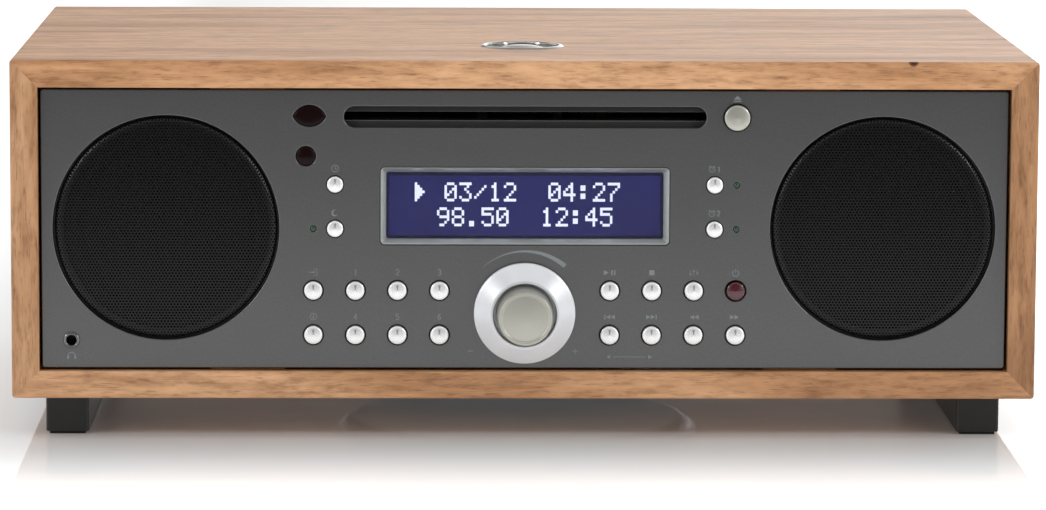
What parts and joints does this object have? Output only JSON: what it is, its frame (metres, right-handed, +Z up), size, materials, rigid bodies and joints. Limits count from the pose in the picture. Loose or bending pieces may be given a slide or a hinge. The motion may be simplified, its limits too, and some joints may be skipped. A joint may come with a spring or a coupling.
{
  "type": "mini hifi system",
  "caption": "Tabletop hifi system: wooden cabinet, CD slot, display, push buttons, coaxial knobs, speakers behind round grilles, downward woofer and rail feet.",
  "frame": {"origin": "on the surface the system stands on, under the middle of the whole object's box", "axes": "+X to the user's right, +Y from the front panel to the back, +Z up"},
  "size_m": [0.3588, 0.2364, 0.134],
  "materials": {
    "wood": "satin oiled veneer",
    "wood_blocks": "plain",
    "black_runner": "satin",
    "rubber_pad": "matt",
    "panel_grey": "fine satin",
    "back_black": "textured",
    "screw_steel": "blackened",
    "grille_black": "satin",
    "basket_steel": "satin",
    "cone_black": "pulp",
    "magnet_iron": "plain",
    "bezel_grey": "satin",
    "display_glass": "clear",
    "lcd_blue": "backlit",
    "dark_window": "gloss",
    "light_green": "clear green",
    "chrome": "polished",
    "circuit_green": "lacquered",
    "encoder_plastic": "plain",
    "ring_silver": "bead blasted",
    "steel_shaft": "ground",
    "knob_champagne": "satin",
    "snooze_satin": "satin",
    "sheet_steel": "galvanised",
    "roller_rubber": "matt",
    "white_plastic": "plain",
    "black_plastic": "plain",
    "socket_metal": "nickel",
    "key_silver": "turned",
    "power_red": "gloss"
  },
  "bodies": {
    "cabinet": {"back_panel": "back_black", "cabinet_bottom": "wood", "cabinet_sides": "wood", "cabinet_top": "wood", "cd_chassis": "sheet_steel", "cd_motors": "steel_shaft", "cd_top_guide": "sheet_steel", "control_board": "circuit_green", "display_bezel": "bezel_grey", "display_lens": "display_glass", "driver_baskets": "basket_steel", "driver_cones": "cone_black", "driver_magnets": "magnet_iron", "fixing_blocks": "wood_blocks", "front_panel": "panel_grey", "headphone_socket": "chrome", "indicator_lights": "light_green", "lcd_module": "lcd_blue", "main_board": "circuit_green", "mains_inlet": "black_plastic", "power_transformer": "magnet_iron", "rear_sockets": "socket_metal", "rotary_encoder": "encoder_plastic", "runner_pads": "rubber_pad", "runners": "black_runner", "screws": "screw_steel", "sensor_windows": "dark_window", "snooze_bezel": "chrome", "speaker_grilles": "grille_black", "woofer_grille": "grille_black"},
    "button_alarm_1": {"button_alarm_1": "key_silver"},
    "button_alarm_2": {"button_alarm_2": "key_silver"},
    "button_audio": {"button_audio": "key_silver"},
    "button_clock": {"button_clock": "key_silver"},
    "button_eject": {"button_eject": "knob_champagne"},
    "button_forward": {"button_forward": "key_silver"},
    "button_info": {"button_info": "key_silver"},
    "button_next": {"button_next": "key_silver"},
    "button_play": {"button_play": "key_silver"},
    "button_power": {"button_power": "power_red"},
    "button_preset_1": {"button_preset_1": "key_silver"},
    "button_preset_2": {"button_preset_2": "key_silver"},
    "button_preset_3": {"button_preset_3": "key_silver"},
    "button_preset_4": {"button_preset_4": "key_silver"},
    "button_preset_5": {"button_preset_5": "key_silver"},
    "button_preset_6": {"button_preset_6": "key_silver"},
    "button_previous": {"button_previous": "key_silver"},
    "button_rewind": {"button_rewind": "key_silver"},
    "button_sleep": {"button_sleep": "key_silver"},
    "button_source": {"button_source": "key_silver"},
    "button_stop": {"button_stop": "key_silver"},
    "volume_ring": {"volume_ring": "ring_silver"},
    "tune_plunger": {"tune_plunger": "steel_shaft"},
    "tune_knob": {"tune_knob": "knob_champagne"},
    "snooze_button": {"snooze_button": "snooze_satin"},
    "cd_feed_roller": {"cd_feed_roller": "roller_rubber"},
    "cd_drive_gear": {"cd_drive_gear": "white_plastic"},
    "cd_turntable": {"cd_turntable": "black_plastic"},
    "cd_laser_sled": {"cd_laser_sled": "black_plastic"},
    "cd_sled_pinion": {"cd_sled_pinion": "white_plastic"}
  },
  "joints": [
    {"name": "alarm_1_press", "type": "slide", "parent": "cabinet", "child": "button_alarm_1", "axis": [0, 1, 0], "range_m": [0, 0.0008], "stiffness_N_per_m": 400, "springref_m": -0.0015},
    {"name": "alarm_2_press", "type": "slide", "parent": "cabinet", "child": "button_alarm_2", "axis": [0, 1, 0], "range_m": [0, 0.0008], "stiffness_N_per_m": 400, "springref_m": -0.0015},
    {"name": "audio_press", "type": "slide", "parent": "cabinet", "child": "button_audio", "axis": [0, 1, 0], "range_m": [0, 0.0008], "stiffness_N_per_m": 400, "springref_m": -0.0015},
    {"name": "clock_press", "type": "slide", "parent": "cabinet", "child": "button_clock", "axis": [0, 1, 0], "range_m": [0, 0.0008], "stiffness_N_per_m": 400, "springref_m": -0.0015},
    {"name": "eject_press", "type": "slide", "parent": "cabinet", "child": "button_eject", "axis": [0, 1, 0], "range_m": [0, 0.0008], "stiffness_N_per_m": 400, "springref_m": -0.0015},
    {"name": "forward_press", "type": "slide", "parent": "cabinet", "child": "button_forward", "axis": [0, 1, 0], "range_m": [0, 0.0008], "stiffness_N_per_m": 400, "springref_m": -0.0015},
    {"name": "info_press", "type": "slide", "parent": "cabinet", "child": "button_info", "axis": [0, 1, 0], "range_m": [0, 0.0008], "stiffness_N_per_m": 400, "springref_m": -0.0015},
    {"name": "next_press", "type": "slide", "parent": "cabinet", "child": "button_next", "axis": [0, 1, 0], "range_m": [0, 0.0008], "stiffness_N_per_m": 400, "springref_m": -0.0015},
    {"name": "play_press", "type": "slide", "parent": "cabinet", "child": "button_play", "axis": [0, 1, 0], "range_m": [0, 0.0008], "stiffness_N_per_m": 400, "springref_m": -0.0015},
    {"name": "power_press", "type": "slide", "parent": "cabinet", "child": "button_power", "axis": [0, 1, 0], "range_m": [0, 0.0008], "stiffness_N_per_m": 400, "springref_m": -0.0015},
    {"name": "preset_1_press", "type": "slide", "parent": "cabinet", "child": "button_preset_1", "axis": [0, 1, 0], "range_m": [0, 0.0008], "stiffness_N_per_m": 400, "springref_m": -0.0015},
    {"name": "preset_2_press", "type": "slide", "parent": "cabinet", "child": "button_preset_2", "axis": [0, 1, 0], "range_m": [0, 0.0008], "stiffness_N_per_m": 400, "springref_m": -0.0015},
    {"name": "preset_3_press", "type": "slide", "parent": "cabinet", "child": "button_preset_3", "axis": [0, 1, 0], "range_m": [0, 0.0008], "stiffness_N_per_m": 400, "springref_m": -0.0015},
    {"name": "preset_4_press", "type": "slide", "parent": "cabinet", "child": "button_preset_4", "axis": [0, 1, 0], "range_m": [0, 0.0008], "stiffness_N_per_m": 400, "springref_m": -0.0015},
    {"name": "preset_5_press", "type": "slide", "parent": "cabinet", "child": "button_preset_5", "axis": [0, 1, 0], "range_m": [0, 0.0008], "stiffness_N_per_m": 400, "springref_m": -0.0015},
    {"name": "preset_6_press", "type": "slide", "parent": "cabinet", "child": "button_preset_6", "axis": [0, 1, 0], "range_m": [0, 0.0008], "stiffness_N_per_m": 400, "springref_m": -0.0015},
    {"name": "previous_press", "type": "slide", "parent": "cabinet", "child": "button_previous", "axis": [0, 1, 0], "range_m": [0, 0.0008], "stiffness_N_per_m": 400, "springref_m": -0.0015},
    {"name": "rewind_press", "type": "slide", "parent": "cabinet", "child": "button_rewind", "axis": [0, 1, 0], "range_m": [0, 0.0008], "stiffness_N_per_m": 400, "springref_m": -0.0015},
    {"name": "sleep_press", "type": "slide", "parent": "cabinet", "child": "button_sleep", "axis": [0, 1, 0], "range_m": [0, 0.0008], "stiffness_N_per_m": 400, "springref_m": -0.0015},
    {"name": "source_press", "type": "slide", "parent": "cabinet", "child": "button_source", "axis": [0, 1, 0], "range_m": [0, 0.0008], "stiffness_N_per_m": 400, "springref_m": -0.0015},
    {"name": "stop_press", "type": "slide", "parent": "cabinet", "child": "button_stop", "axis": [0, 1, 0], "range_m": [0, 0.0008], "stiffness_N_per_m": 400, "springref_m": -0.0015},
    {"name": "volume_turn", "type": "hinge", "parent": "cabinet", "child": "volume_ring", "pos_m": [0, -0.10275, 0.0446], "axis": [0, -1, 0], "continuous": true},
    {"name": "tune_push", "type": "slide", "parent": "cabinet", "child": "tune_plunger", "axis": [0, 1, 0], "range_m": [0, 0.0008], "stiffness_N_per_m": 800, "springref_m": -0.0015},
    {"name": "tune_turn", "type": "hinge", "parent": "tune_plunger", "child": "tune_knob", "pos_m": [0, -0.10275, 0.0446], "axis": [0, -1, 0], "continuous": true},
    {"name": "snooze_press", "type": "slide", "parent": "cabinet", "child": "snooze_button", "axis": [0, 0, -1], "range_m": [0, 0.001], "stiffness_N_per_m": 500, "springref_m": -0.0015},
    {"name": "roller_turn", "type": "hinge", "parent": "cabinet", "child": "cd_feed_roller", "pos_m": [0, -0.08975, 0.1083], "axis": [1, 0, 0], "continuous": true},
    {"name": "loading_gear_turn", "type": "hinge", "parent": "cabinet", "child": "cd_drive_gear", "pos_m": [0, -0.07953, 0.1059], "axis": [1, 0, 0], "continuous": true},
    {"name": "turntable_spin", "type": "hinge", "parent": "cabinet", "child": "cd_turntable", "pos_m": [0, -0.02675, 0.1], "axis": [0, 0, 1], "continuous": true},
    {"name": "sled_slide", "type": "slide", "parent": "cabinet", "child": "cd_laser_sled", "axis": [0, 1, 0], "range_m": [0, 0.036]},
    {"name": "sled_pinion_turn", "type": "hinge", "parent": "cabinet", "child": "cd_sled_pinion", "pos_m": [0.0283, 0.00345, 0.1022], "axis": [0, 0, 1], "range_deg": [-329, 0]}
  ],
  "couplings": [
    {"joint": "loading_gear_turn", "follows": "roller_turn", "ratio": -1.3333},
    {"joint": "sled_pinion_turn", "follows": "sled_slide", "rad_per_m": -158.73}
  ]
}
